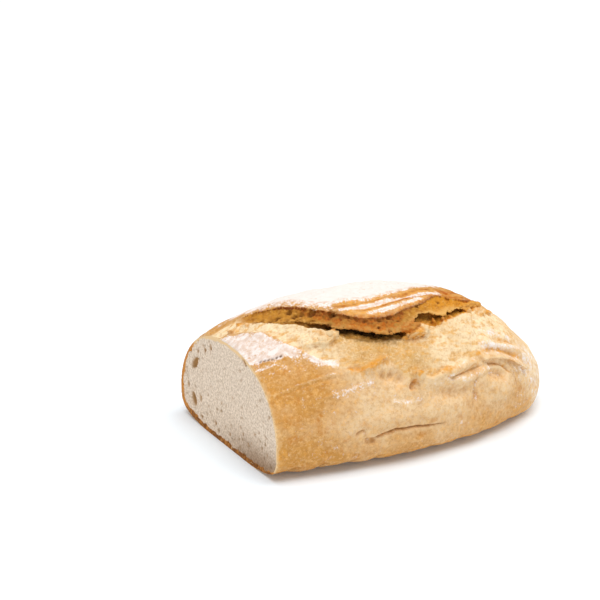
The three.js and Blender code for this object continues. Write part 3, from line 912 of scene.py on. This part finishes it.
def makeSpeckled():        # breaks a soft mask up into grains
    inputs = {"Mask": 0.0, "Grain Scale": 900.0, "Patch Scale": 120.0, "Sharpness": 3.0}
    g, given, result = newGroup("speckledMask", inputs, "Mask", "Float")
    swings = []
    for scale, amount in (("Grain Scale", 1.6), ("Patch Scale", 1.4)):
        soft = addNode(g, "TexNoise", {"Vector": given["Vector"], "Scale": given[scale], "Detail": 3.0})
        swings.append(swung(g, soft.outputs[0], amount))
    both = maths(g, "ADD", *swings)
    raised = maths(g, "SUBTRACT", maths(g, "ADD", given["Mask"], both), 0.45)
    sharp = maths(g, "MULTIPLY", raised, given["Sharpness"], clamp=True)
    wire(g, result["Mask"], times(g, sharp, between(g, given["Mask"], 0.02, 0.2)))
    return g


def makeMottle():          # wanders between two colours
    inputs = {"First": None, "Second": None, "Scale": 100.0, "Contrast": 1.0}
    g, given, result = newGroup("mottledColor", inputs, "Color", "Color")
    soft = addNode(g, "TexNoise", {"Vector": given["Vector"], "Scale": given["Scale"], "Detail": 4.0,
                                   "Roughness": 0.6}).outputs[0]
    stretched = maths(g, "ADD", swung(g, soft, times(g, given["Contrast"], 3.0)), 0.5, clamp=True)
    wire(g, result["Color"], blend(g, stretched, given["First"], given["Second"]))
    return g


speckledMask, mottledColor = makeSpeckled(), makeMottle()


def speckled(tree, where, value, grain, patch, sharpness):        # grain and patch in millimetres
    return addNode(tree, "Group", {"Vector": where, "Mask": value, "Grain Scale": 1 / (grain * mm),
                                   "Patch Scale": 1 / (patch * mm), "Sharpness": sharpness},
                   node_tree=speckledMask).outputs[0]


def mottled(tree, where, first, second, size, contrast):
    return addNode(tree, "Group", {"Vector": where, "First": first, "Second": second,
                                   "Scale": 1 / (size * mm), "Contrast": contrast},
                   node_tree=mottledColor).outputs[0]


def grainOf(tree, where):        # broad drifts, freckles and specks that crust and bloom share
    drift = swung(tree, noiseAt(tree, where, 24, rough=0.55), 1.6)
    freckles = between(tree, noiseAt(tree, where, 2.6, 5, 0.8), 0.44, 0.66)
    specks = between(tree, noiseAt(tree, where, 2.2, 5, 0.8), 0.46, 0.7)
    return drift, freckles, specks


def crustColor(tree, where, drift, freckles, specks):        # gold to cream, deeper where it baked hardest
    paleness = maths(tree, "ADD", mask(tree, "pale"), drift, clamp=True)
    crust = blend(tree, paleness, shade("goldCrust"), shade("creamCrust"))
    crust = blend(tree, between(tree, mask(tree, "pale"), 1.0, 2.0, 0, 0.8), crust, shade("bloomPale"))
    blotch = times(tree, between(tree, noiseAt(tree, where, 8, 5, 0.65), 0.50, 0.72),
                   between(tree, paleness, 0, 1, 0.9, 0.45))
    crust = blend(tree, blotch, crust, shade("deepCrust"))
    crust = blend(tree, speckled(tree, where, mask(tree, "glow"), 3, 14, 1.3), crust, shade("glowCrust"))
    crust = blend(tree, speckled(tree, where, mask(tree, "bake"), 2, 12, 1.2), crust, shade("edgeCrust"))
    goldBlotch = between(tree, noiseAt(tree, where, 4.4, 5, 0.7), 0.48, 0.64)
    crust = blend(tree, times(tree, goldBlotch, 0.45), crust, shade("glowCrust"))
    freckled = times(tree, freckles, between(tree, paleness, 0, 1, 0.75, 0.5))
    crust = blend(tree, freckled, crust, shade("freckle"))
    return blend(tree, times(tree, specks, 0.6), crust, shade("goldSpeck"))


def bloomColor(tree, where, drift, freckles, specks):        # the paler skin that opened in the oven
    tone = maths(tree, "ADD", mask(tree, "bloomTone"), drift, clamp=True)
    bloomed = blend(tree, tone, shade("bloomCream"), shade("bloomPale"))
    alongLoaf = addNode(tree, "VectorMath", {0: where, 1: (0.45, 1, 1)}, operation="MULTIPLY").outputs[0]
    goldPatch = between(tree, noiseAt(tree, alongLoaf, 4.5, 5, 0.65), 0.46, 0.64)
    bloomed = blend(tree, times(tree, goldPatch, 0.8), bloomed, shade("bloomGold"))
    bloomed = blend(tree, times(tree, freckles, 0.5), bloomed, shade("freckle"))
    return blend(tree, times(tree, specks, 0.6), bloomed, shade("bloomPale"))


def tornColor(tree, where):        # the stretched wall of the tear
    wall = blend(tree, mask(tree, "tornTone"), shade("tornOlive"), shade("tornGold"))
    spots = between(tree, noiseAt(tree, where, 3.4, 5, 0.7), 0.46, 0.64)
    wall = blend(tree, times(tree, spots, 0.55), wall, shade("tornBrown"))
    light = between(tree, noiseAt(tree, where, 2.2, 4, 0.7), 0.55, 0.68)
    wall = blend(tree, times(tree, light, 0.6), wall, shade("tornPale"))
    # painted highlight on the rim at the foot of the wall
    return blend(tree, mask(tree, "footHighlight"), wall, shade("tornPale"))


def toastColor(tree, where):        # brown through orange to gold
    wander = swung(tree, noiseAt(tree, where, 3.5, 4, 0.65), 2.0)
    tone = maths(tree, "ADD", mask(tree, "toastTone"), wander, clamp=True)
    toasty = blend(tree, between(tree, tone, 0, 0.5), shade("toastBrown"), shade("toastOrange"))
    return blend(tree, between(tree, tone, 0.5, 1), toasty, shade("toastGold"))


def flourColor(tree, where):        # patchy where it lies neither thin nor thick
    thickness = mask(tree, "flour")
    patchy = times(tree, between(tree, thickness, 0.85, 1.0), between(tree, thickness, 1.1, 1.25, 1, 0))
    pressed = mottled(tree, where, shade("flourShade"), shade("flourWhite"), 4, 1.5)
    return blend(tree, patchy, shade("flourWhite"), pressed)


def cutColor(tree, where, cutDepth):        # a thin baked rim, then crumb with holes
    crumb = mottled(tree, where, shade("crumbShade"), shade("crumbWhite"), 1.6, 1.4)
    # painted shadow low on the cut face
    crumb = blend(tree, mask(tree, "crumbShadowLow"), crumb, shade("crumbShadowLow"), "MULTIPLY")
    # painted shade inside the holes, darker where a hole is deeper
    crumb = blend(tree, between(tree, mask(tree, "holeDepth"), 0.15, 1.7), crumb, shade("crumbHoleShade"))
    crumb = blend(tree, times(tree, mask(tree, "bigHole"), 0.85), crumb, shade("crumbHoleShadeDeep"))
    low = mask(tree, "baseSide")
    rimColor = blend(tree, between(tree, low, 0.0, 0.45), shade("rimPale"), shade("rimGold"))
    brown = speckled(tree, where, between(tree, low, 0.5, 1), 2, 6, 1.5)
    rimColor = blend(tree, brown, rimColor, shade("rimBrown"))
    rim = blend(tree, speckled(tree, where, between(tree, cutDepth, 0.7, 1.7), 5, 9, 2.5), rimColor, crumb)
    return blend(tree, between(tree, cutDepth, 1.5, 2.2), rim, crumb)


# one material, from the crust outwards to the flour, and the cut face last
crustMaterial = bpy.data.materials.new("bakedCrust")
crustMaterial.use_nodes = True
tree = crustMaterial.node_tree
where = addNode(tree, "TexCoord").outputs["Object"]
sharedGrain = grainOf(tree, where)
outside, opening = crustColor(tree, where, *sharedGrain), bloomColor(tree, where, *sharedGrain)
color = blend(tree, mask(tree, "bloom"), outside, opening)
relief = mask(tree, "relief")
# painted shade in the hollows of the relief and a painted highlight on its crests
color = blend(tree, between(tree, relief, -0.12, -1.1, 0, 0.5), color, shade("hollowShade"))
color = blend(tree, between(tree, relief, 0.1, 0.8, 0, 0.3), color, shade("crestHighlight"))
color = blend(tree, speckled(tree, where, mask(tree, "shadow"), 2, 5, 1.4), color, shade("shadowOlive"))
color = blend(tree, mask(tree, "torn"), color, tornColor(tree, where))
color = blend(tree, speckled(tree, where, mask(tree, "toast"), 2.2, 6, 1.2), color, toastColor(tree, where))
color = blend(tree, mask(tree, "darkLip"), color, shade("toastDark"))
# painted shade in the crevice
color = blend(tree, mask(tree, "creviceShade"), color, shade("creviceShadeBrown"))
dusted = speckled(tree, where, mask(tree, "flour"), 1.3, 5, 2.0)
color = blend(tree, times(tree, dusted, 0.92), color, flourColor(tree, where))
# painted shade in the pits
color = blend(tree, times(tree, mask(tree, "pits"), 0.9), color, shade("pitShadeBrown"))
cutDepth = mask(tree, "cutDepth")
color = blend(tree, between(tree, cutDepth, 0.0, 0.1), color, cutColor(tree, where, cutDepth))
principled = tree.nodes["Principled BSDF"]
wire(tree, principled.inputs["Base Color"], color)
principled.inputs["Roughness"].default_value = 0.75
principled.inputs["Specular IOR Level"].default_value = 0.12
lumps = maths(tree, "ADD", times(tree, noiseAt(tree, where, 0.9, 4), 0.5), noiseAt(tree, where, 3))
bump = addNode(tree, "Bump", {"Height": lumps, "Strength": 0.7, "Distance": 0.7 * mm})
wire(tree, principled.inputs["Normal"], bump.outputs[0])

loaf.data.materials.clear()
loaf.data.materials.append(crustMaterial)
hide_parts("loaf")
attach(loaf, "root")
print("finish", len(tree.nodes), "nodes")

# floor, camera and soft studio light
cameraView = {
    "azimuth": -27.63, "elevation": 17.98, "distance": 1.330, "lens": 109.82,
    "aim": (0.0769, 0.0356, 0.0869),      # metres from the middle of the cut's base edge
}
studio = {
    "floorColor": (0.87, 0.93, 0.98, 1), "floorGlow": 0.05, "floorSize": 200, "floorRoughness": 0.9,
    "worldStrength": 0.58,
    "lights": {      # direction it comes from, softness in degrees, strength, tint
        "topSoft": ((0.06, -0.2, 1.0), 56, 2.04, (1, 1, 1)),
    },
}

bpy.ops.mesh.primitive_plane_add(size=studio["floorSize"])
floor = bpy.context.object
floor.name = "floor"
floorMaterial = bpy.data.materials.new("paleFloor")
floorMaterial.use_nodes = True
floorShader = floorMaterial.node_tree.nodes["Principled BSDF"]
floorShader.inputs["Base Color"].default_value = studio["floorColor"]
floorShader.inputs["Roughness"].default_value = studio["floorRoughness"]
floorShader.inputs["Emission Color"].default_value = (1, 1, 1, 1)
floorShader.inputs["Emission Strength"].default_value = studio["floorGlow"]
floor.data.materials.append(floorMaterial)

azimuth, elevation = math.radians(cameraView["azimuth"]), math.radians(cameraView["elevation"])
level = math.cos(elevation)
backward = Vector((math.sin(azimuth) * level, -math.cos(azimuth) * level, math.sin(elevation)))
aim = Vector(cameraView["aim"]) + Vector((lowCorner.x, -middleY * mm, 0))
bpy.ops.object.camera_add(location=aim + backward * cameraView["distance"],
                          rotation=backward.to_track_quat("Z", "Y").to_euler())
camera = bpy.context.object
camera.data.lens = cameraView["lens"]
camera.data.sensor_width = 36
bpy.context.scene.camera = camera

world = bpy.data.worlds.new("studio")
bpy.context.scene.world = world
world.use_nodes = True
world.node_tree.nodes["Background"].inputs["Color"].default_value = (1, 1, 1, 1)
world.node_tree.nodes["Background"].inputs["Strength"].default_value = studio["worldStrength"]
bpy.context.scene.view_settings.view_transform = "Standard"
for name, (direction, softness, strength, tint) in studio["lights"].items():
    bpy.ops.object.light_add(type="SUN", location=direction)
    light = bpy.context.object
    light.name = name
    light.data.angle = math.radians(softness)
    light.data.energy = strength
    light.data.color = tint
    light.rotation_euler = Vector(direction).to_track_quat("Z", "Y").to_euler()
